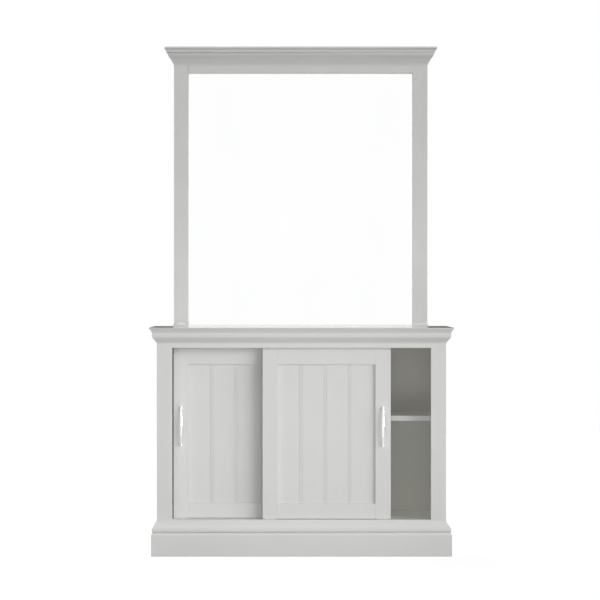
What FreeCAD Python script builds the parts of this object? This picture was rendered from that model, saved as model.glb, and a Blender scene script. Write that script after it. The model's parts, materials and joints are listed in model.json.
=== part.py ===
import FreeCAD, Part
import math
import os

# A painted chiffonier: a base cupboard with two sliding boarded doors, and a framed mirror
# with a cornice standing at the back of its top. Millimetres; X to the right, Y to the back,
# Z up. The origin is on the floor, under the middle of the top board.

# Whole piece
top_width = 1200.0
top_depth = 450.0
base_height = 900.0
total_height = 2040.0
arris = 1.0
arris_swell = 0.3

# Carcass boards
side_thickness = 18.0
bottom_thickness = 18.0
housing_depth = 6.0
back_thickness = 8.0
back_rebate = 10.0
stretcher_depth = 70.0
stretcher_thickness = 19.0

# Shelf
shelf_thickness = 20.0
shelf_underside = 528.0
shelf_behind_track = 2.0
shelf_clearance = 1.0
peg_diameter = 6.0
peg_in_panel = 10.0
peg_in_cupboard = 12.0
peg_from_edge = 40.0
peg_clearance = 0.1

# Face frame
face_thickness = 20.0
face_stile = 60.0
face_bottom_rail = 83.0
sill_reveal = 2.0
tenon_length = 25.0
tenon_cheek = 2.0
face_tenon = 6.0
mirror_tenon = 8.0
tenon_shoulder = 10.0

# Edge of the top board, and the bed moulding under it
lip_height = 3.0
lip_reach = 11.5
lip_cove_height = 18.0
lip_cove_hollow = 1.0
lip_foot = 1.0
bed_swell_height = 17.4
bed_swell_reach = 1.2
bed_swell_out = 0.9
bed_splay_height = 15.6
bed_splay_reach = 12.8
bed_cove_height = 10.0
bed_cove_reach = 4.5
bed_cove_hollow = 1.0

# Plinth and the moulding that caps it
plinth_height = 93.0
plinth_thickness = 22.0
plinth_round_height = 14.0
plinth_round_depth = 6.5
plinth_round_swell = 1.6
cap_reach = 19.5
cap_foot_reach = 15.5
cap_foot_height = 9.0
cap_foot_swell = 1.05
cap_nose_reach = 17.2
cap_nose_height = 9.5
cap_nose_swell = 0.55
cap_slope_reach = 5.2
cap_slope_height = 17.5
cap_cove_height = 12.0
cap_cove_hollow = 1.0
plinth_rail_thickness = 18.0
corner_block = 40.0
corner_block_height = 90.0

# Sliding doors
door_thickness = 20.0
door_clearance = 3.0
handle_passing = 1.5
door_gap = 5.0
rear_door_gap = 3.5
stop_setback = 6.0
door_lift = 2.0
door_behind_rail = 8.0
door_lap = 2.0
door_stile = 60.0
door_top_rail = 74.0
door_bottom_rail = 59.0
meeting_extra = 20.0
front_door_open = 157.5

# Boarded door panels
board_count = 4
panel_recess = 10.0
panel_rebate = 10.0
panel_clearance = 0.5
bead_width = 8.0
bead_drop = 0.3
quirk_width = 1.2
quirk_depth = 1.6
joint_gap = 1.4
tongue_length = 5.0
tongue_thickness = 3.0
tongue_clearance = 0.3

# Door track, guide, glides and pins
track_margin = 3.5
groove_width = 8.0
groove_depth = 8.0
guide_web = 3.5
guide_lift = 9.0
guide_headroom = 0.5
running_clearance = 0.5
glide_length = 40.0
glide_flange_width = 14.0
glide_fin_gap = 1.0
glide_spigot = 8.0
glide_spigot_length = 14.0
pin_clearance = 1.0
pin_in_door = 14.0
pin_in_groove = 9.0
fit_clearance = 0.1

# Bow handles
handle_height = 509.0
handle_span = 150.0
handle_reach = 20.0
grip_length = 76.0
grip_width = 11.0
grip_depth = 8.0
grip_end_share = 0.84
grip_shoulder_share = 0.96
neck_diameter = 6.4
collar_thickness = 3.0
foot_diameter = 9.2
foot_stand = 7.0

# Screws
handle_screw = 4.0
handle_screw_head = 8.0
handle_screw_bite = 7.0
wood_screw = 4.5
wood_screw_head = 9.0
wood_screw_bite = 15.0
top_screw_spacing = 300.0
post_screw = 5.0
post_screw_head = 10.0
post_screw_bite = 45.0
post_screw_spread = 26.0
post_screw_from_front = 14.0
screw_head_share = 0.5
screw_tip_share = 0.25

# Mirror back
mirror_inset = 82.0
post_width = 60.0
post_depth = 45.0
foot_cove_reach = 6.0
foot_cove_height = 16.0
foot_cove_edge = 2.0
mirror_rail_height = 93.5
glass_setback = 24.0
glass_thickness = 4.0
glass_lap = 10.0
backing_thickness = 6.0
mirror_foot_rail = 60.0

# Cornice, as the rise and the reach of each member from the bottom up
cornice_toe = 1.2
lower_cove_rise = 12.0
lower_cove_reach = 4.8
lower_cove_hollow = 0.8
scotia_rise = 21.0
scotia_reach = 13.0
scotia_hollow = 0.8
swell_rise = 16.0
swell_reach = 7.2
swell_out = 1.5
ledge_rise = 3.0
ledge_reach = 4.0
fillet_rise = 5.0
fillet_reach = 0.8
upper_cove_rise = 8.5
upper_cove_reach = 6.2
upper_cove_hollow = 1.6
fascia_rise = 2.5
fascia_reach = 1.0
weathering_rise = 6.0
weathering_reach = 6.0
weathering_swell = 0.8
cornice_cap_thickness = 12.0

# How far a mitre's cut runs past the moulding on every side
mitre_spare = 5.0

# How closely an edge has to lie along an axis or at a place to be picked for easing
along_share = 0.99
touching = 0.01

# Places worked out from the sizes above
bed_reach = bed_cove_reach + bed_splay_reach + bed_swell_reach
bed_height = bed_cove_height + bed_splay_height + bed_swell_height
top_overhang = bed_reach + lip_reach
top_thickness = lip_height + lip_cove_height + lip_foot
cap_height = cap_foot_height + cap_nose_height + cap_slope_height + cap_cove_height
sill_height = plinth_height + cap_height + sill_reveal
guide_groove_depth = pin_in_groove + guide_lift + guide_headroom
guide_thickness = guide_groove_depth + guide_web
face_top_rail = stretcher_thickness + guide_thickness + guide_lift + door_behind_rail
door_spacing = handle_reach + handle_passing
track_depth = door_clearance + 2 * door_thickness + door_spacing + track_margin
pin_diameter = groove_width - 2 * pin_clearance
glide_fin_drop = groove_depth - glide_fin_gap
cornice_members = [
    (lower_cove_reach, lower_cove_rise, lower_cove_hollow),
    (scotia_reach, scotia_rise, scotia_hollow),
    (swell_reach, swell_rise, -swell_out),
    (ledge_reach, ledge_rise),
    (fillet_reach, fillet_rise),
    (upper_cove_reach, upper_cove_rise, upper_cove_hollow),
    (fascia_reach, fascia_rise),
]
cornice_reach = cornice_toe + sum(member[0] for member in cornice_members)
cornice_height = sum(member[1] for member in cornice_members) + weathering_rise

back_y = top_depth / 2
front_y = top_overhang - back_y
body_half = top_width / 2 - top_overhang
frame_back_y = front_y + face_thickness
side_inner = body_half - side_thickness
half_opening = body_half - face_stile
top_underside = base_height - top_thickness
opening_top = top_underside - face_top_rail
board_front_y = frame_back_y + track_depth
back_panel_y = back_y - back_thickness
floor_underside = sill_height - bottom_thickness

door_bottom = sill_height + door_lift
door_top = opening_top + door_behind_rail
door_middle = door_thickness / 2
front_door_y = frame_back_y + door_clearance
rear_door_y = front_door_y + door_thickness + door_spacing
front_door_width = half_opening - door_gap + door_lap / 2
panel_width = front_door_width - 2 * door_stile
board_width = panel_width / board_count
front_door_x = half_opening - front_door_open - front_door_width
rear_door_x = rear_door_gap - half_opening
guide_underside = door_top + guide_lift
stretcher_underside = top_underside - stretcher_thickness

mirror_half = top_width / 2 - mirror_inset
mirror_opening = mirror_half - post_width
mirror_front_y = back_y - post_depth
glass_y = mirror_front_y + glass_setback
backing_y = glass_y + glass_thickness
mirror_bead_y = backing_y + backing_thickness
cornice_bottom = total_height - cornice_height
post_top = total_height - cornice_cap_thickness
mirror_rail_underside = post_top - mirror_rail_height
glass_top = mirror_rail_underside + glass_lap


def box(x0, x1, y0, y1, z0, z1):
    """A board between two corners."""
    return Part.makeBox(x1 - x0, y1 - y0, z1 - z0, FreeCAD.Vector(x0, y0, z0))


def mirrored(shape):
    """The same piece on the other side of the middle plane."""
    return shape.mirror(FreeCAD.Vector(0, 0, 0), FreeCAD.Vector(1, 0, 0))


def rod(diameter, start, direction, length):
    """A round rod from a point along a direction."""
    return Part.makeCylinder(diameter / 2, length, FreeCAD.Vector(*start), FreeCAD.Vector(*direction))


def section(start, steps, place):
    """A closed face: each step is (u, v) for a line, or (u, v, hollow) for an arc to that point."""
    edges = []
    here = start
    for step in steps:
        end = step[:2]
        run = (end[0] - here[0], end[1] - here[1])
        if len(step) == 2:
            edges.append(Part.makeLine(place(*here), place(*end)))
        else:
            chord = math.hypot(*run)
            middle = (
                (here[0] + end[0]) / 2 - run[1] / chord * step[2],
                (here[1] + end[1]) / 2 + run[0] / chord * step[2],
            )
            edges.append(Part.Arc(place(*here), place(*middle), place(*end)).toShape())
        here = end
    edges.append(Part.makeLine(place(*here), place(*start)))
    return Part.Face(Part.Wire(edges))


def cavetto(reach, rise):
    """The hollow of an arc that leaves a wall along it, and moves that far out over that rise."""
    return math.hypot(reach, rise) / 2 * math.tan(math.atan2(reach, rise) / 2)


def footprint(points, z0, height):
    """A prism over a polygon, which cuts a moulding at its mitre."""
    corners = [FreeCAD.Vector(x, y, z0) for x, y in points]
    return Part.Face(Part.makePolygon(corners + corners[:1])).extrude(FreeCAD.Vector(0, 0, height))


def front_run(profile, x0, x1, face_y, z0):
    """A moulding along a front face, square at both ends."""
    face = section(*profile, lambda out, up: FreeCAD.Vector(x0, face_y - out, z0 + up))
    return face.extrude(FreeCAD.Vector(x1 - x0, 0, 0))


def right_run(profile, face_x, front, rear, z0):
    """A moulding along a right-hand face, square at both ends."""
    face = section(*profile, lambda out, up: FreeCAD.Vector(face_x + out, front, z0 + up))
    return face.extrude(FreeCAD.Vector(0, rear - front, 0))


def mitred_corner(profile, start_x, half, face_y, rear_y, z0, reach, height):
    """Two runs of one moulding that meet in a mitre at a right-hand front corner."""
    inner = (half - mitre_spare, face_y + mitre_spare)
    outer = (half + reach + mitre_spare, face_y - reach - mitre_spare)
    low = z0 - mitre_spare
    deep = height + 2 * mitre_spare
    front_waste = footprint([inner, outer, (outer[0], inner[1])], low, deep)
    right_waste = footprint([inner, (inner[0], outer[1]), outer], low, deep)
    front = front_run(profile, start_x, outer[0], face_y, z0).cut(front_waste)
    right = right_run(profile, half, outer[1], rear_y, z0).cut(right_waste)
    return front, right


def mitred_set(profile, half, face_y, rear_y, z0, reach, height):
    """Front, left and right runs of one moulding, mitred at the two front corners."""
    front, right = mitred_corner(profile, 0, half, face_y, rear_y, z0, reach, height)
    return fused(front, mirrored(front)), mirrored(right), right


def fused(first, *others):
    """Several solids made into one."""
    shape = first
    for other in others:
        shape = shape.fuse(other)
    return shape.removeSplitter()


def rail_with_tenons(x0, x1, y0, thickness, tenon_y, tenon, z0, z1):
    """A rail with a tenon at each end, which the stiles are mortised for."""
    rail = box(x0, x1, y0, y0 + thickness, z0, z1)
    tongue = box(
        x0 - tenon_length,
        x1 + tenon_length,
        tenon_y - tenon / 2,
        tenon_y + tenon / 2,
        z0 + tenon_shoulder,
        z1 - tenon_shoulder,
    )
    return fused(rail, tongue)


def screw(shank, head, start, direction, length):
    """A countersunk screw: its flat head lies at the start point."""
    rise = (head - shank) * screw_head_share
    point = length - shank
    origin = FreeCAD.Vector(*start)
    axis = FreeCAD.Vector(*direction)
    cone = Part.makeCone(head / 2, shank / 2, rise, origin, axis)
    stem = Part.makeCylinder(shank / 2, point - rise, origin + axis * rise, axis)
    tip = Part.makeCone(shank / 2, shank / 2 * screw_tip_share, shank, origin + axis * point, axis)
    return fused(cone, stem, tip)


def screw_hole(shank, head, start, direction, length):
    """The hole for a screw, a little wider than the screw all round."""
    wide = 2 * fit_clearance
    return screw(shank + wide, head + wide, start, direction, length + wide)


nodes = {}


def carcass():
    """Sides, bottom, back, stretchers and shelf."""
    side = box(side_inner, body_half, frame_back_y, back_y, 0, top_underside)
    rebate_x = side_inner + back_rebate
    side = side.cut(box(side_inner, rebate_x, back_panel_y, back_y, 0, top_underside))
    housing_x = side_inner + housing_depth
    side = side.cut(box(side_inner, housing_x, frame_back_y, back_panel_y, floor_underside, sill_height))
    peg_z = shelf_underside - peg_diameter / 2
    shelf_front = board_front_y + shelf_behind_track
    shelf_back = back_panel_y - shelf_clearance
    peg_start = side_inner + peg_in_panel
    pegs = []
    for peg_y in (shelf_front + peg_from_edge, shelf_back - peg_from_edge):
        drill = rod(peg_diameter + 2 * peg_clearance, (peg_start, peg_y, peg_z), (-1, 0, 0), peg_in_panel)
        side = side.cut(drill)
        peg = rod(peg_diameter, (peg_start, peg_y, peg_z), (-1, 0, 0), peg_in_panel + peg_in_cupboard)
        pegs += [peg, mirrored(peg)]
    nodes["right_side_panel"] = side
    nodes["left_side_panel"] = mirrored(side)
    nodes["shelf_pegs"] = Part.makeCompound(pegs)
    shelf_half = side_inner - shelf_clearance
    shelf_top = shelf_underside + shelf_thickness
    shelf = box(-shelf_half, shelf_half, shelf_front, shelf_back, shelf_underside, shelf_top)
    nodes["shelf"] = eased(shelf, lambda edge: edge_runs_x(edge) and at_y(edge, shelf_front))
    nodes["bottom_board"] = box(
        -housing_x, housing_x, board_front_y, back_panel_y, floor_underside, sill_height
    )
    nodes["back_panel"] = box(-rebate_x, rebate_x, back_panel_y, back_y, 0, top_underside)
    for name, y0 in (("front_stretcher", frame_back_y), ("rear_stretcher", back_panel_y - stretcher_depth)):
        stretcher = box(-side_inner, side_inner, y0, y0 + stretcher_depth, stretcher_underside, top_underside)
        nodes[name] = stretcher


def edge_ends(edge):
    """The two end points of an edge."""
    return edge.Vertexes[0].Point, edge.Vertexes[-1].Point


def edge_runs_x(edge):
    """Whether an edge lies along X."""
    start, end = edge_ends(edge)
    return abs(start.x - end.x) > edge.Length * along_share


def edge_runs_z(edge):
    """Whether an edge lies along Z."""
    start, end = edge_ends(edge)
    return abs(start.z - end.z) > edge.Length * along_share


def at_y(edge, y):
    """Whether both ends of an edge lie at the given Y."""
    return all(abs(point.y - y) < touching for point in edge_ends(edge))


def at_x(edge, x):
    """Whether both ends of an edge lie at the given X."""
    return all(abs(point.x - x) < touching for point in edge_ends(edge))


def eased(shape, wanted):
    """The shape with its wanted edges rounded over by the arris radius."""
    edges = [edge for edge in shape.Edges if wanted(edge)]
    return shape.makeFillet(arris, edges)


def face_frame():
    """Stiles and rails of the front, tenoned together."""
    tenon_y = front_y + face_thickness / 2
    rails = {
        "top_face_rail": (opening_top, top_underside),
        "bottom_face_rail": (sill_height - face_bottom_rail, sill_height),
    }
    stile = box(half_opening, body_half, front_y, frame_back_y, 0, top_underside)
    stile = eased(stile, lambda edge: edge_runs_z(edge) and at_y(edge, front_y))
    for name, (low, high) in rails.items():
        rail = rail_with_tenons(
            -half_opening, half_opening, front_y, face_thickness, tenon_y, face_tenon, low, high
        )
        nodes[name] = rail
        stile = stile.cut(rail)
    nodes["right_face_stile"] = stile
    nodes["left_face_stile"] = mirrored(stile)


def top_and_bed_moulding():
    """Top board with its moulded edge, and the bed moulding under it."""
    edge_steps = [
        (bed_reach, 0),
        (bed_reach, lip_foot),
        (top_overhang, lip_foot + lip_cove_height, lip_cove_hollow),
        (top_overhang, top_thickness - arris),
        (top_overhang - arris, top_thickness, -arris_swell * arris),
        (0, top_thickness),
    ]
    profile = ((0, 0), edge_steps)
    runs = mitred_set(profile, body_half, front_y, back_y, top_underside, top_overhang, top_thickness)
    core = box(-body_half, body_half, front_y, back_y, top_underside, base_height)
    nodes["top_board"] = fused(core, *runs)

    bed_steps = [
        (bed_cove_reach, bed_cove_height, bed_cove_hollow),
        (bed_cove_reach + bed_splay_reach, bed_cove_height + bed_splay_height),
        (bed_reach, bed_height, -bed_swell_out),
        (0, bed_height),
    ]
    bed_z = top_underside - bed_height
    runs = mitred_set(((0, 0), bed_steps), body_half, front_y, back_y, bed_z, bed_reach, bed_height)
    for side, run in zip(("front", "left", "right"), runs):
        nodes[side + "_bed_moulding"] = run


def plinth():
    """Plinth boards, the moulding that caps them, the rear rail and the corner blocks."""
    board_steps = [
        (plinth_thickness - arris, 0),
        (plinth_thickness, arris),
        (plinth_thickness, plinth_height - plinth_round_height),
        (plinth_thickness - plinth_round_depth, plinth_height, -plinth_round_swell),
        (0, plinth_height),
    ]
    boards = mitred_set(
        ((0, 0), board_steps), body_half, front_y, back_y, 0, plinth_thickness, plinth_height
    )
    cap_nose_top = cap_foot_height + cap_nose_height
    cap_steps = [
        (cap_foot_reach, 0),
        (cap_reach, cap_foot_height, -cap_foot_swell),
        (cap_nose_reach, cap_nose_top, -cap_nose_swell),
        (cap_slope_reach, cap_nose_top + cap_slope_height),
        (0, cap_height, cap_cove_hollow),
    ]
    caps = mitred_set(
        ((0, 0), cap_steps), body_half, front_y, back_y, plinth_height, cap_reach, cap_height
    )
    for side, board, cap in zip(("front", "left", "right"), boards, caps):
        nodes[side + "_plinth_board"] = board
        nodes[side + "_plinth_cap"] = cap
    rail_y = back_panel_y - plinth_rail_thickness
    nodes["rear_plinth_rail"] = box(-side_inner, side_inner, rail_y, back_panel_y, 0, floor_underside)
    blocks = []
    block_x = side_inner - corner_block
    for y0 in (frame_back_y, rail_y - corner_block):
        block = box(block_x, side_inner, y0, y0 + corner_block, 0, corner_block_height)
        blocks += [block, mirrored(block)]
    nodes["corner_blocks"] = Part.makeCompound(blocks)


def door_track():
    """Bottom track, top guide and the stops behind the stiles."""
    track_half = side_inner + housing_depth
    track = box(-track_half, track_half, frame_back_y, board_front_y, floor_underside, sill_height)
    guide = box(-side_inner, side_inner, frame_back_y, board_front_y, guide_underside, stretcher_underside)
    for door_y in (front_door_y, rear_door_y):
        y0 = door_y + door_middle - groove_width / 2
        y1 = y0 + groove_width
        track = track.cut(box(-side_inner, side_inner, y0, y1, sill_height - groove_depth, sill_height))
        groove_top = guide_underside + guide_groove_depth
        guide = guide.cut(box(-side_inner, side_inner, y0, y1, guide_underside, groove_top))
    nodes["bottom_track"] = track
    nodes["top_guide"] = guide
    stop_x = half_opening + stop_setback
    stop = box(stop_x, side_inner, frame_back_y, board_front_y, sill_height, guide_underside)
    nodes["door_stops"] = Part.makeCompound([stop, mirrored(stop)])


def panel_board(index, x0, face_y, z0, height):
    """One tongue-and-groove board with a bead along its right edge."""
    first = index == 0
    last = index == board_count - 1
    hidden = panel_rebate - panel_clearance
    left = -hidden if first else 0
    thickness = door_thickness - panel_recess
    tongue_front = (thickness - tongue_thickness) / 2
    tongue_back = tongue_front + tongue_thickness
    if last:
        steps = [(board_width + hidden, 0), (board_width + hidden, thickness)]
    else:
        bead_end = board_width - joint_gap
        bead_start = bead_end - bead_width
        steps = [
            (bead_start - quirk_width, 0),
            (bead_start - quirk_width, quirk_depth),
            (bead_start, quirk_depth),
            (bead_start, bead_drop),
            (bead_end, bead_drop, -bead_drop),
            (bead_end, quirk_depth),
            (board_width, quirk_depth),
            (board_width, tongue_front),
            (board_width + tongue_length, tongue_front),
            (board_width + tongue_length, tongue_back),
            (board_width, tongue_back),
            (board_width, thickness),
        ]
    steps.append((left, thickness))
    if not first:
        slot = tongue_length + tongue_clearance
        steps += [
            (0, tongue_back + tongue_clearance),
            (slot, tongue_back + tongue_clearance),
            (slot, tongue_front - tongue_clearance),
            (0, tongue_front - tongue_clearance),
        ]
    board_x = x0 + index * board_width
    face = section((left, 0), steps, lambda across, deep: FreeCAD.Vector(board_x + across, face_y + deep, z0))
    return face.extrude(FreeCAD.Vector(0, 0, height))


def bow_handle(x, face_y):
    """A bow handle: an oval grip, a neck and a collar each side of it, and two round feet."""
    half_span = handle_span / 2
    crown = handle_reach - grip_depth / 2
    sag = crown - foot_stand
    radius = (half_span ** 2 + sag ** 2) / (2 * sag)

    def bow(height):
        """A point on the middle line of the bow, and the direction of the line there."""
        lean = math.asin(height / radius)
        out = crown - radius + radius * math.cos(lean)
        point = FreeCAD.Vector(x, face_y - out, handle_height + height)
        return point, FreeCAD.Vector(0, math.sin(lean), math.cos(lean))

    def oval(height, width, depth):
        """An oval section, square to the bow."""
        point, along = bow(height)
        wire = Part.Wire(Part.Ellipse(FreeCAD.Vector(0, 0, 0), width / 2, depth / 2).toShape())
        wire.Placement = FreeCAD.Placement(point, FreeCAD.Rotation(FreeCAD.Vector(0, 0, 1), along))
        return wire

    half_grip = grip_length / 2
    end = grip_end_share
    shoulder = grip_shoulder_share
    swell = [(-1, end), (-0.5, shoulder), (0, 1), (0.5, shoulder), (1, end)]
    grip = [oval(share * half_grip, grip_width * size, grip_depth * size) for share, size in swell]
    pieces = [Part.makeLoft(grip, True, False)]
    for side in (-1, 1):
        neck_heights = (side * half_grip, side * (half_grip + half_span) / 2, side * half_span)
        neck = [oval(height, neck_diameter, neck_diameter) for height in neck_heights]
        pieces.append(Part.makeLoft(neck, True, False))
        collar = bow(side * (half_grip + collar_thickness / 2))
        pieces.append(Part.makeTorus(neck_diameter / 2, collar_thickness / 2, *collar))
        foot = FreeCAD.Vector(x, face_y - foot_stand, handle_height + side * half_span)
        pieces.append(Part.makeSphere(foot_diameter / 2, foot))
        foot_start = (x, face_y, handle_height + side * half_span)
        pieces.append(rod(foot_diameter, foot_start, (0, -1, 0), foot_stand))
    return fused(*pieces)


def door(name, x0, face_y, right_stile, handle_x):
    """A framed and boarded sliding door with its handle, glides and guide pins."""
    panel_x0 = x0 + door_stile
    panel_x1 = panel_x0 + panel_width
    x1 = panel_x1 + right_stile
    back = face_y + door_thickness
    panel_z0 = door_bottom + door_bottom_rail
    panel_z1 = door_top - door_top_rail
    rebate = box(
        panel_x0 - panel_rebate,
        panel_x1 + panel_rebate,
        face_y + panel_recess,
        back,
        panel_z0 - panel_rebate,
        panel_z1 + panel_rebate,
    )
    tenon_y = face_y + panel_recess / 2
    tenon = panel_recess - 2 * tenon_cheek
    left = box(x0, panel_x0, face_y, back, door_bottom, door_top)
    right = box(panel_x1, x1, face_y, back, door_bottom, door_top)
    left = eased(left, lambda edge: edge_runs_z(edge) and at_x(edge, x0)).cut(rebate)
    right = eased(right, lambda edge: edge_runs_z(edge) and at_x(edge, x1)).cut(rebate)
    rails = {"bottom_rail": (door_bottom, panel_z0), "top_rail": (panel_z1, door_top)}
    for part, (low, high) in rails.items():
        rail = rail_with_tenons(panel_x0, panel_x1, face_y, door_thickness, tenon_y, tenon, low, high)
        left = left.cut(rail)
        right = right.cut(rail)
        nodes[name + "_" + part] = rail.cut(rebate)

    board_z = panel_z0 - panel_rebate + panel_clearance
    board_height = panel_z1 - panel_z0 + 2 * (panel_rebate - panel_clearance)
    boards = []
    for index in range(board_count):
        boards.append(panel_board(index, panel_x0, face_y + panel_recess, board_z, board_height))
    nodes[name + "_boards"] = Part.makeCompound(boards)

    handle = bow_handle(handle_x, face_y)
    screws = []
    screw_length = door_thickness + handle_screw_bite
    for side in (-1, 1):
        start = (handle_x, back, handle_height + side * handle_span / 2)
        screws.append(screw(handle_screw, handle_screw_head, start, (0, -1, 0), screw_length))
        hole = screw_hole(handle_screw, handle_screw_head, start, (0, -1, 0), screw_length)
        handle = handle.cut(hole)
        left = left.cut(hole)
        right = right.cut(hole)
    nodes[name + "_handle"] = handle
    nodes[name + "_handle_screws"] = Part.makeCompound(screws)

    glides = []
    pins = []
    middle_y = face_y + door_middle
    fin = groove_width / 2 - running_clearance
    for x in (x0 + door_stile / 2, x1 - door_stile / 2):
        reach = glide_length / 2
        flange = glide_flange_width / 2
        plate = box(x - reach, x + reach, middle_y - flange, middle_y + flange, sill_height, door_bottom)
        blade = box(
            x - reach, x + reach, middle_y - fin, middle_y + fin, sill_height - glide_fin_drop, sill_height
        )
        spigot = rod(glide_spigot, (x, middle_y, door_bottom), (0, 0, 1), glide_spigot_length)
        glides.append(fused(plate, blade, spigot))
        pin_start = (x, middle_y, door_top - pin_in_door)
        pins.append(rod(pin_diameter, pin_start, (0, 0, 1), pin_in_door + guide_lift + pin_in_groove))
        wide = 2 * fit_clearance
        socket = rod(glide_spigot + wide, (x, middle_y, door_bottom), (0, 0, 1), glide_spigot_length + wide)
        pin_hole = rod(pin_diameter + wide, pin_start, (0, 0, 1), pin_in_door)
        left = left.cut(socket).cut(pin_hole)
        right = right.cut(socket).cut(pin_hole)
    nodes[name + "_glides"] = Part.makeCompound(glides)
    nodes[name + "_guide_pins"] = Part.makeCompound(pins)
    nodes[name + "_left_stile"] = left
    nodes[name + "_right_stile"] = right


def mirror_back():
    """Posts, rails, glass, backing and retaining beads of the mirror."""
    post = box(mirror_opening, mirror_half, mirror_front_y, back_y, base_height, post_top)
    post = eased(post, lambda edge: edge_runs_z(edge) and at_y(edge, mirror_front_y))
    cove = ((0, 0), [
        (foot_cove_reach, 0),
        (foot_cove_reach, foot_cove_edge),
        (0, foot_cove_height, cavetto(foot_cove_reach, foot_cove_height - foot_cove_edge)),
    ])
    coves = mitred_corner(
        cove,
        mirror_opening,
        mirror_half,
        mirror_front_y,
        back_y,
        base_height,
        foot_cove_reach,
        foot_cove_height,
    )
    cove_top = base_height + foot_cove_height
    square_foot = box(mirror_opening, mirror_half, mirror_front_y, back_y, base_height, cove_top)
    post = fused(post, square_foot, *coves)
    lap_half = mirror_opening + glass_lap
    rebate = box(-lap_half, lap_half, glass_y, back_y, base_height, glass_top)
    tenon_y = mirror_front_y + glass_setback / 2
    rail = rail_with_tenons(
        -mirror_opening,
        mirror_opening,
        mirror_front_y,
        post_depth,
        tenon_y,
        mirror_tenon,
        mirror_rail_underside,
        post_top,
    )
    post = post.cut(rail).cut(rebate)
    nodes["mirror_top_rail"] = rail.cut(rebate)
    nodes["mirror_glass"] = box(-lap_half, lap_half, glass_y, backing_y, base_height, glass_top)
    nodes["mirror_backing"] = box(-lap_half, lap_half, backing_y, mirror_bead_y, base_height, glass_top)
    foot_top = base_height + mirror_foot_rail
    nodes["mirror_foot_rail"] = box(-lap_half, lap_half, mirror_bead_y, back_y, base_height, foot_top)
    side_bead = box(mirror_opening, lap_half, mirror_bead_y, back_y, foot_top, glass_top)
    top_bead = box(
        -mirror_opening, mirror_opening, mirror_bead_y, back_y, mirror_rail_underside, glass_top
    )
    nodes["mirror_beads"] = Part.makeCompound([side_bead, mirrored(side_bead), top_bead])
    nodes["right_post"] = post
    nodes["left_post"] = mirrored(post)


def cornice():
    """Cornice round the head of the mirror frame, with the board that closes its top."""
    steps = [(cornice_toe, 0)]
    for member in cornice_members:
        out, up = steps[-1][:2]
        steps.append((out + member[0], up + member[1]) + member[2:])
    steps.append((cornice_reach - weathering_reach, cornice_height, -weathering_swell))
    steps.append((0, cornice_height))
    runs = mitred_set(
        ((0, 0), steps), mirror_half, mirror_front_y, back_y, cornice_bottom, cornice_reach, cornice_height
    )
    for side, run in zip(("front", "left", "right"), runs):
        nodes[side + "_cornice"] = run
    nodes["cornice_cap"] = box(-mirror_half, mirror_half, mirror_front_y, back_y, post_top, total_height)


def fixing_screws():
    """Screws up through the stretchers into the top board and the posts."""
    top_screws = []
    rear_row = back_panel_y - stretcher_depth / 2
    front_row = frame_back_y + stretcher_depth / 2
    length = stretcher_thickness + wood_screw_bite
    for y, stretcher in ((front_row, "front_stretcher"), (rear_row, "rear_stretcher")):
        for step in (-1, 0, 1):
            start = (step * top_screw_spacing, y, stretcher_underside)
            top_screws.append(screw(wood_screw, wood_screw_head, start, (0, 0, 1), length))
            hole = screw_hole(wood_screw, wood_screw_head, start, (0, 0, 1), length)
            nodes[stretcher] = nodes[stretcher].cut(hole)
            nodes["top_board"] = nodes["top_board"].cut(hole)
    nodes["top_screws"] = Part.makeCompound(top_screws)

    post_screws = []
    length = stretcher_thickness + top_thickness + post_screw_bite
    post_middle = mirror_half - post_width / 2
    for side, post in ((-1, "left_post"), (1, "right_post")):
        for way in (-1, 1):
            x = side * post_middle + way * post_screw_spread / 2
            start = (x, mirror_front_y + post_screw_from_front, stretcher_underside)
            post_screws.append(screw(post_screw, post_screw_head, start, (0, 0, 1), length))
            hole = screw_hole(post_screw, post_screw_head, start, (0, 0, 1), length)
            for name in ("rear_stretcher", "top_board", post):
                nodes[name] = nodes[name].cut(hole)
    nodes["post_screws"] = Part.makeCompound(post_screws)


carcass()
face_frame()
top_and_bed_moulding()
plinth()
door_track()
front_handle_x = front_door_x + front_door_width - door_stile / 2
door("front_door", front_door_x, front_door_y, door_stile, front_handle_x)
rear_handle_x = rear_door_x + door_stile / 2
door("rear_door", rear_door_x, rear_door_y, door_stile + meeting_extra, rear_handle_x)
mirror_back()
cornice()
fixing_screws()

os.makedirs("parts", exist_ok=True)
for name, shape in nodes.items():
    if not shape.isValid():
        raise ValueError(name + " is not a valid shape")
    shape.exportStep("parts/" + name + ".step")
print(len(nodes), "pieces written")
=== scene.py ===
import json
import math
from collections import namedtuple

import bmesh
import bpy
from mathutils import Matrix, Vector


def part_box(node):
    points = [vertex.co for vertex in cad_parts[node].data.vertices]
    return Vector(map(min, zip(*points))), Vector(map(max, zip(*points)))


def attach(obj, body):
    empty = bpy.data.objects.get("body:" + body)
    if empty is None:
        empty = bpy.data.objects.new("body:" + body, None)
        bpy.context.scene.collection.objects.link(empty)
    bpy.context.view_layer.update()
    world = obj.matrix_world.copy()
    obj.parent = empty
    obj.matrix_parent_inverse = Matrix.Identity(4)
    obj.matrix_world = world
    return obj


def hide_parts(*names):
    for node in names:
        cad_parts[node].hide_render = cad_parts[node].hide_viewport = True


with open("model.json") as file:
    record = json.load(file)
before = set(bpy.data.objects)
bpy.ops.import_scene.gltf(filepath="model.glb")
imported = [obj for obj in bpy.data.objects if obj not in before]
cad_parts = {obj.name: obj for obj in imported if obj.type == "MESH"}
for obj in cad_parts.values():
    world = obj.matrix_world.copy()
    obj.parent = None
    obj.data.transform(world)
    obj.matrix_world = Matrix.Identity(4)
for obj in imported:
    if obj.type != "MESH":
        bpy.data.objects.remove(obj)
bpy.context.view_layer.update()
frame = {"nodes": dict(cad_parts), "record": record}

# Lengths are in metres and colours in linear light. Suns and panels have their angles in degrees.
Sun = namedtuple("Sun", "azimuth elevation spread strength shadows")
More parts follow.
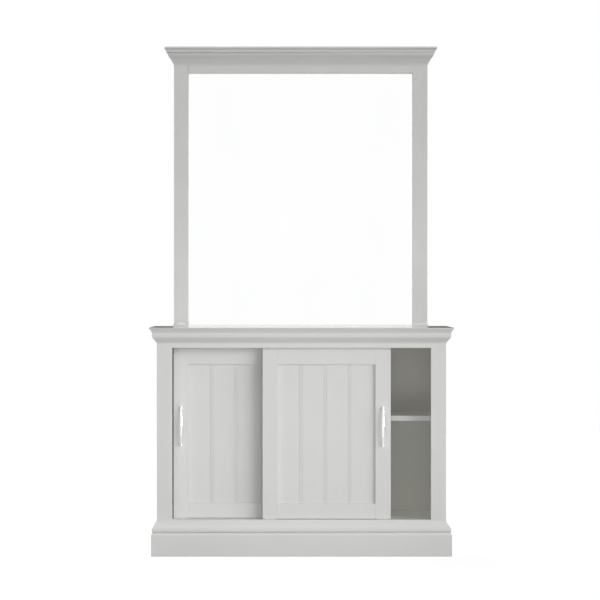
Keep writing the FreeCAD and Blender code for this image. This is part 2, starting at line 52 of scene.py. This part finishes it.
Panel = namedtuple("Panel", "place aim size spread watts")
WHITE = (1.0, 1.0, 1.0, 1.0)

# Camera: level, square to the front, well back
VIEW_FROM = Vector((-0.0846, -10.225, 1.056))
LENS_MM = 152.75
SENSOR_MM = 36.0
SHIFT_RIGHT = 0.0333
SHIFT_UP = -0.02
FAR_CLIP = 100.0

# Lights: an even dome, suns, and panels in front. A sun's azimuth is 0 in front of the piece and 90 on its
# right.
DOME = 0.119
SUNS = {
    "key": Sun(azimuth=44, elevation=9, spread=30, strength=1.50, shadows=True),
    "key_wing": Sun(azimuth=66, elevation=9, spread=22, strength=0.97, shadows=True),
    "high_fill": Sun(azimuth=0, elevation=60, spread=30, strength=0.53, shadows=False),
    "rear_fill": Sun(azimuth=215, elevation=35, spread=60, strength=1.2, shadows=True),
    "left_fill": Sun(azimuth=258, elevation=25, spread=40, strength=0.7, shadows=True),
}
PANELS = {
    "low_panel": Panel(
        place=(0.35, -1.64, 0.21),
        aim=(0.35, 0.16, 0.79),
        size=(1.0, 0.4),
        spread=90,
        watts=1.06,
    ),
    "left_panel": Panel(
        place=(-1.3, -2.6, 0.60),
        aim=(-0.2, 0.0, 0.45),
        size=(0.9, 0.9),
        spread=55,
        watts=1.24,
    ),
}

# Floor, which the camera sees as white
FLOOR_HALF = 8.0
FLOOR_DROP = 0.0005
FLOOR_COLOUR = (0.35, 0.35, 0.345, 1.0)
FLOOR_GLOW = 0.8

# Dark cards behind the ends of the top, outside the posts, which only shiny surfaces show
CARD_BEHIND_BACK = 0.275
CARD_OUTSIDE_POST = 0.004
CARD_WIDTH = 0.972
CARD_BELOW_TOP = 0.3
CARD_ABOVE_TOP = 0.7
CARD_COLOUR = (0.03, 0.03, 0.028, 1.0)

# Softened edges of the wooden pieces
WOODEN_SLOTS = ("paint", "pine", "backing")
EDGE_RADIUS = 0.0005
EDGE_STEPS = 2
EDGE_LEAST = 0.004
WELD_REACH = 0.00001
FLAT_ANGLE = math.radians(1.0)
SHARP_ANGLE = math.radians(40.0)
SMOOTH_ANGLE = math.radians(50.0)

# Nodes of several solids that touch, which keep their own mesh
TOUCHING = ("front_door_boards", "rear_door_boards", "mirror_beads")

# Nodes of several upright solids, whose grain doesn't run along the longest side of the node's box
UPRIGHT_GRAIN = ("door_stops", "corner_blocks")

# The darkest and lightest colour of each paint, and its lowest and highest roughness
PAINT_COLOURS = ((0.625, 0.625, 0.613, 1.0), (0.648, 0.648, 0.636, 1.0))
# The inside paint is lighter and yellower than the outside paint. This is painted light, standing in for
# light bounced around inside the cupboard.
INSIDE_PAINTED_LIGHT_COLOURS = ((0.745, 0.741, 0.689, 1.0), (0.773, 0.769, 0.717, 1.0))
PAINT_ROUGHNESS = (0.36, 0.46)
TOP_ROUGHNESS = (0.10, 0.16)
INSIDE_ROUGHNESS = (0.45, 0.55)

# How rough the noise in the materials is, and the range that most of it keeps to
NOISE_ROUGHNESS = 0.55
NOISE_LOW = 0.3
NOISE_HIGH = 0.7


class Nodes:
    """A short way to build a node tree."""

    def __init__(self, tree):
        self.tree = tree
        tree.nodes.clear()

    def add(self, kind, inputs=None, **settings):
        """A new node, with its settings, and with each named input linked or set."""
        node = self.tree.nodes.new(kind)
        for name, value in settings.items():
            setattr(node, name, value)
        for name, value in (inputs or {}).items():
            socket = node.inputs[name]
            if isinstance(value, bpy.types.NodeSocket):
                self.tree.links.new(value, socket)
            else:
                socket.default_value = value
        return node

    def noise(self, where, cells, detail):
        """Noise with so many cells to the metre along X, Y and Z."""
        scaled = self.add("ShaderNodeMapping", {"Vector": where, "Scale": cells})
        inputs = {
            "Vector": scaled.outputs["Vector"],
            "Scale": 1.0,
            "Detail": detail,
            "Roughness": NOISE_ROUGHNESS,
        }
        return self.add("ShaderNodeTexNoise", inputs).outputs["Fac"]

    def span(self, value, low, high):
        """Noise, or a total of it, spread over the range low to high."""
        inputs = {
            "Value": value,
            "From Min": NOISE_LOW,
            "From Max": NOISE_HIGH,
            "To Min": low,
            "To Max": high,
        }
        return self.add("ShaderNodeMapRange", inputs).outputs["Result"]

    def total(self, *parts):
        """The sum of (value, share) parts, each value times its share."""
        result = 0.0
        for value, share in parts:
            inputs = {0: value, 1: share, 2: result}
            result = self.add("ShaderNodeMath", inputs, operation="MULTIPLY_ADD").outputs[0]
        return result

    def ramp(self, value, *stops):
        """A colour ramp through (place, colour) stops."""
        node = self.add("ShaderNodeValToRGB", {"Fac": value})
        elements = node.color_ramp.elements
        for place, _ in stops[1:-1]:
            elements.new(place)
        for element, (place, colour) in zip(elements, stops):
            element.position = place
            element.color = colour
        return node.outputs["Color"]

    def bump(self, height, strength, distance, under=None):
        """A bump from a height, over another bump if one is given."""
        inputs = {"Height": height, "Strength": strength, "Distance": distance}
        if under is not None:
            inputs["Normal"] = under
        return self.add("ShaderNodeBump", inputs).outputs["Normal"]

    def finish(self, **inputs):
        """The surface shader, with its inputs named with _ for a space."""
        named = {name.replace("_", " "): value for name, value in inputs.items()}
        shader = self.add("ShaderNodeBsdfPrincipled", named)
        self.add("ShaderNodeOutputMaterial", {"Surface": shader.outputs["BSDF"]})


def blank_material(name):
    """A material and its empty tree."""
    made = bpy.data.materials.new(name)
    made.use_nodes = True
    return made, Nodes(made.node_tree)


def new_material(name):
    """A material, its tree and its place socket, which is in metres and moves with the piece."""
    made, nodes = blank_material(name)
    return made, nodes, nodes.add("ShaderNodeTexCoord").outputs["Object"]


def even(cells):
    """The same number of cells to the metre along X, Y and Z."""
    return (cells, cells, cells)


def along(axis, lengthwise, across):
    """Cells to the metre along X, Y and Z for a pattern drawn out along one axis."""
    cells = [across] * 3
    cells["XYZ".index(axis)] = lengthwise
    return cells


def paint(name, axis, colours, roughness):
    """Satin paint, brushed along the grain, over timber that shows through faintly."""
    made, nodes, where = new_material(name)
    dark, light = colours
    smoothest, roughest = roughness
    broad = nodes.noise(where, even(7.0), detail=2.0)
    timber = nodes.noise(where, along(axis, lengthwise=1.6, across=55.0), detail=3.0)
    bristles = nodes.noise(where, along(axis, lengthwise=6.0, across=520.0), detail=4.0)
    peel = nodes.noise(where, even(650.0), detail=1.0)
    tone = nodes.total((broad, 0.5), (timber, 0.3), (bristles, 0.2))
    gloss = nodes.total((broad, 0.5), (bristles, 0.5))
    relief = nodes.bump(timber, strength=0.06, distance=0.0004)
    relief = nodes.bump(bristles, strength=0.10, distance=0.0002, under=relief)
    relief = nodes.bump(peel, strength=0.04, distance=0.0002, under=relief)
    nodes.finish(
        Base_Color=nodes.ramp(tone, (0.35, dark), (0.65, light)),
        Roughness=nodes.span(gloss, smoothest, roughest),
        Normal=relief,
    )
    return made


def chrome():
    """Polished chrome with faint hairline polishing marks and a little haze."""
    made, nodes, where = new_material("chrome")
    dull = (0.90, 0.905, 0.91, 1.0)
    bright = (0.95, 0.953, 0.957, 1.0)
    marks = nodes.noise(where, along("Z", lengthwise=60.0, across=2600.0), detail=2.0)
    haze = nodes.noise(where, even(90.0), detail=3.0)
    gloss = nodes.total((marks, 0.5), (haze, 0.5))
    nodes.finish(
        Base_Color=nodes.ramp(haze, (0.3, dull), (0.7, bright)),
        Metallic=1.0,
        Roughness=nodes.span(gloss, low=0.05, high=0.12),
        Normal=nodes.bump(marks, strength=0.03, distance=0.0001),
    )
    return made


def silvering():
    """Silvered glass with the faint haze that wiping leaves."""
    made, nodes, where = new_material("silvering")
    hazy = (0.975, 0.985, 0.98, 1.0)
    clear = (0.992, 0.995, 0.993, 1.0)
    wiped = nodes.noise(where, along("Z", lengthwise=2.5, across=5.0), detail=4.0)
    nodes.finish(
        Base_Color=nodes.ramp(wiped, (0.25, hazy), (0.75, clear)),
        Metallic=1.0,
        Roughness=nodes.span(wiped, low=0.004, high=0.02),
    )
    return made


def hardboard():
    """Brown pressed board: short fibres and dark flecks, slightly burnished."""
    made, nodes, where = new_material("hardboard")
    dark = (0.085, 0.043, 0.019, 1.0)
    middle = (0.165, 0.086, 0.037, 1.0)
    light = (0.235, 0.130, 0.060, 1.0)
    fibres = nodes.noise(where, along("Z", lengthwise=260.0, across=900.0), detail=4.0)
    flecks = nodes.noise(where, even(240.0), detail=2.0)
    cloudy = nodes.noise(where, even(4.0), detail=3.0)
    tone = nodes.total((fibres, 0.4), (flecks, 0.35), (cloudy, 0.25))
    nodes.finish(
        Base_Color=nodes.ramp(tone, (0.36, dark), (0.5, middle), (0.64, light)),
        Roughness=nodes.span(fibres, low=0.5, high=0.75),
        Normal=nodes.bump(fibres, strength=0.2, distance=0.0003),
    )
    return made


def pine(axis):
    """Bare softwood with darker growth lines drawn out along its length."""
    made, nodes, where = new_material("pine_" + axis.lower())
    dark = (0.34, 0.175, 0.065, 1.0)
    middle = (0.47, 0.275, 0.112, 1.0)
    light = (0.575, 0.375, 0.175, 1.0)
    wander = nodes.noise(where, along(axis, lengthwise=2.0, across=9.0), detail=3.0)
    lines = nodes.noise(where, along(axis, lengthwise=1.2, across=140.0), detail=4.0)
    pores = nodes.noise(where, along(axis, lengthwise=25.0, across=900.0), detail=2.0)
    tone = nodes.total((lines, 0.6), (wander, 0.25), (pores, 0.15))
    nodes.finish(
        Base_Color=nodes.ramp(tone, (0.36, dark), (0.48, middle), (0.62, light)),
        Roughness=nodes.span(pores, low=0.55, high=0.75),
        Normal=nodes.bump(lines, strength=0.15, distance=0.0004),
    )
    return made


def nylon():
    """Moulded off-white nylon with a fine matt skin."""
    made, nodes, where = new_material("nylon")
    dark = (0.70, 0.69, 0.62, 1.0)
    light = (0.77, 0.755, 0.69, 1.0)
    skin = nodes.noise(where, even(1400.0), detail=2.0)
    flow = nodes.noise(where, even(35.0), detail=2.0)
    nodes.finish(
        Base_Color=nodes.ramp(flow, (0.3, dark), (0.7, light)),
        Roughness=nodes.span(skin, low=0.42, high=0.58),
        Subsurface_Weight=0.15,
        Subsurface_Scale=0.002,
        Normal=nodes.bump(skin, strength=0.08, distance=0.0001),
    )
    return made


def zinc():
    """Zinc-plated steel: a cloudy plating over fine turning marks."""
    made, nodes, where = new_material("zinc")
    dark = (0.31, 0.315, 0.32, 1.0)
    light = (0.42, 0.42, 0.415, 1.0)
    clouds = nodes.noise(where, even(260.0), detail=3.0)
    turned = nodes.noise(where, even(2200.0), detail=2.0)
    gloss = nodes.total((clouds, 0.5), (turned, 0.5))
    nodes.finish(
        Base_Color=nodes.ramp(clouds, (0.3, dark), (0.7, light)),
        Metallic=1.0,
        Roughness=nodes.span(gloss, low=0.28, high=0.48),
        Normal=nodes.bump(turned, strength=0.1, distance=0.0001),
    )
    return made


def seen_ray(nodes):
    """1 for what the camera sees, straight or in a reflection or through glass, and 0 for light."""
    path = nodes.add("ShaderNodeLightPath")
    seen = path.outputs["Is Camera Ray"]
    for kind in ("Is Glossy Ray", "Is Transmission Ray"):
        inputs = {0: seen, 1: path.outputs[kind]}
        seen = nodes.add("ShaderNodeMath", inputs, operation="MAXIMUM").outputs[0]
    return seen


def make_world():
    """A soft even dome of light, which looks white."""
    world = bpy.data.worlds.new("studio")
    world.use_nodes = True
    bpy.context.scene.world = world
    nodes = Nodes(world.node_tree)
    inputs = {"Value": seen_ray(nodes), "To Min": DOME, "To Max": 1.0}
    strength = nodes.add("ShaderNodeMapRange", inputs).outputs["Result"]
    sky = nodes.add("ShaderNodeBackground", {"Color": WHITE, "Strength": strength})
    nodes.add("ShaderNodeOutputWorld", {"Surface": sky.outputs["Background"]})


def staged_sheet(name, corners, finish):
    """A flat sheet with four corners, which isn't part of the piece."""
    mesh = bpy.data.meshes.new(name)
    mesh.from_pydata(corners, [], [range(4)])
    mesh.materials.append(finish)
    sheet = bpy.data.objects.new(name, mesh)
    bpy.context.scene.collection.objects.link(sheet)
    return sheet


def make_floor():
    """A pale floor that looks white and keeps the shadow."""
    made, nodes = blank_material("floor")
    matte = nodes.add("ShaderNodeBsdfDiffuse", {"Color": FLOOR_COLOUR}).outputs["BSDF"]
    glow = nodes.add("ShaderNodeEmission", {"Color": WHITE, "Strength": FLOOR_GLOW}).outputs["Emission"]
    both = nodes.add("ShaderNodeAddShader", {0: matte, 1: glow}).outputs["Shader"]
    mix = nodes.add("ShaderNodeMixShader", {0: seen_ray(nodes), 1: matte, 2: both}).outputs["Shader"]
    nodes.add("ShaderNodeOutputMaterial", {"Surface": mix})
    signs = [(-1, -1), (1, -1), (1, 1), (-1, 1)]
    staged_sheet("floor", [(x * FLOOR_HALF, y * FLOOR_HALF, -FLOOR_DROP) for x, y in signs], made)


def make_cards():
    """A dark card behind each end of the top, to keep the white surroundings out of its sheen."""
    made, nodes = blank_material("card")
    matte = nodes.add("ShaderNodeBsdfDiffuse", {"Color": CARD_COLOUR}).outputs["BSDF"]
    nodes.add("ShaderNodeOutputMaterial", {"Surface": matte})
    post_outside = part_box("right_post")[1][0]
    top_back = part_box("top_board")[1][1]
    top_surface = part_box("top_board")[1][2]
    place = top_back + CARD_BEHIND_BACK
    inner = post_outside + CARD_OUTSIDE_POST
    outer = inner + CARD_WIDTH
    low = top_surface - CARD_BELOW_TOP
    high = top_surface + CARD_ABOVE_TOP
    outline = [(inner, low), (outer, low), (outer, high), (inner, high)]
    for name, side in (("left_card", -1), ("right_card", 1)):
        card = staged_sheet(name, [(side * x, place, z) for x, z in outline], made)
        card.visible_camera = False
        card.visible_diffuse = False
        card.visible_shadow = False
        card.visible_transmission = False


def add_light(name, data, towards):
    """A light object that shines away from a direction."""
    light = bpy.data.objects.new(name, data)
    light.rotation_euler = towards.to_track_quat("Z", "Y").to_euler()
    light.visible_camera = False
    bpy.context.scene.collection.objects.link(light)
    return light


def make_suns():
    """Soft light from far away."""
    for name, sun in SUNS.items():
        data = bpy.data.lights.new(name, "SUN")
        data.angle = math.radians(sun.spread)
        data.energy = sun.strength
        data.use_shadow = sun.shadows
        turn = math.radians(sun.azimuth)
        rise = math.radians(sun.elevation)
        level = math.cos(rise)
        add_light(name, data, Vector((math.sin(turn) * level, -math.cos(turn) * level, math.sin(rise))))


def make_panels():
    """Soft panels near the piece, which shiny things don't show."""
    for name, panel in PANELS.items():
        data = bpy.data.lights.new(name, "AREA")
        data.shape = "RECTANGLE"
        data.size, data.size_y = panel.size
        data.spread = math.radians(panel.spread)
        data.energy = panel.watts
        light = add_light(name, data, Vector(panel.place) - Vector(panel.aim))
        light.location = panel.place
        light.visible_glossy = False


def make_camera():
    """The photograph's view."""
    data = bpy.data.cameras.new("camera")
    data.lens = LENS_MM
    data.sensor_width = SENSOR_MM
    data.shift_x = SHIFT_RIGHT
    data.shift_y = SHIFT_UP
    data.clip_end = FAR_CLIP
    camera = bpy.data.objects.new("camera", data)
    camera.location = VIEW_FROM
    camera.rotation_euler = (math.pi / 2, 0.0, 0.0)
    bpy.context.scene.collection.objects.link(camera)
    bpy.context.scene.camera = camera


def grain_axis(name):
    """The axis that a wooden piece's grain follows."""
    if name in UPRIGHT_GRAIN:
        return "Z"
    low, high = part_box(name)
    sides = [high[i] - low[i] for i in range(3)]
    return "XYZ"[sides.index(max(sides))]


def softened(name, body):
    """A copy of a wooden piece with its sharp edges rounded over, in the piece's place."""
    mesh = bpy.data.meshes.new(name + "_soft")
    work = bmesh.new()
    work.from_mesh(frame["nodes"][name].data)
    bmesh.ops.remove_doubles(work, verts=work.verts, dist=WELD_REACH)
    bmesh.ops.dissolve_limit(work, angle_limit=FLAT_ANGLE, verts=work.verts, edges=work.edges)
    sharp = []
    for edge in work.edges:
        if edge.is_manifold and edge.calc_length() > EDGE_LEAST and edge.calc_face_angle() > SHARP_ANGLE:
            sharp.append(edge)
    bmesh.ops.bevel(
        work,
        geom=sharp,
        offset=EDGE_RADIUS,
        segments=EDGE_STEPS,
        profile=0.5,
        affect="EDGES",
        clamp_overlap=True,
    )
    for face in work.faces:
        face.smooth = True
    work.to_mesh(mesh)
    work.free()
    mesh.set_sharp_from_angle(angle=SMOOTH_ANGLE)
    piece = bpy.data.objects.new(name + "_soft", mesh)
    bpy.context.scene.collection.objects.link(piece)
    normals = piece.modifiers.new("normals", "WEIGHTED_NORMAL")
    normals.keep_sharp = True
    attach(piece, body)
    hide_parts(name)
    return piece


make_camera()
make_world()
make_floor()
make_cards()
make_suns()
make_panels()

node_slots = {part["node"]: part["material_slot"] for part in frame["record"]["subparts"]}
node_bodies = {}
for body, members in frame["record"]["behaviour"]["bodies"].items():
    for member in members:
        node_bodies[member] = body

plain_finishes = {
    "chrome": chrome(),
    "mirror": silvering(),
    "backing": hardboard(),
    "nylon": nylon(),
    "steel": zinc(),
}
paints = {axis: paint("paint_" + axis.lower(), axis, PAINT_COLOURS, PAINT_ROUGHNESS) for axis in "XYZ"}
pines = {axis: pine(axis) for axis in "XYZ"}
top_paint = paint("paint_top", "X", PAINT_COLOURS, TOP_ROUGHNESS)
# Painted light: the back panel and bottom board get a lighter, yellower copy of the paint, standing in for
# light bounced inside the cupboard.
painted_light_inside_finish = paint("painted_light_inside", "Z", INSIDE_PAINTED_LIGHT_COLOURS, INSIDE_ROUGHNESS)
special_paints = {"top_board": top_paint, "back_panel": painted_light_inside_finish, "bottom_board": painted_light_inside_finish}

for name, node in frame["nodes"].items():
    slot = node_slots[name]
    if slot == "paint":
        finish = special_paints.get(name) or paints[grain_axis(name)]
    elif slot == "pine":
        finish = pines[grain_axis(name)]
    else:
        finish = plain_finishes[slot]
    wooden = slot in WOODEN_SLOTS and name not in TOUCHING
    piece = softened(name, node_bodies[name]) if wooden else node
    piece.data.materials.clear()
    piece.data.materials.append(finish)

bpy.context.scene.view_settings.view_transform = "Standard"
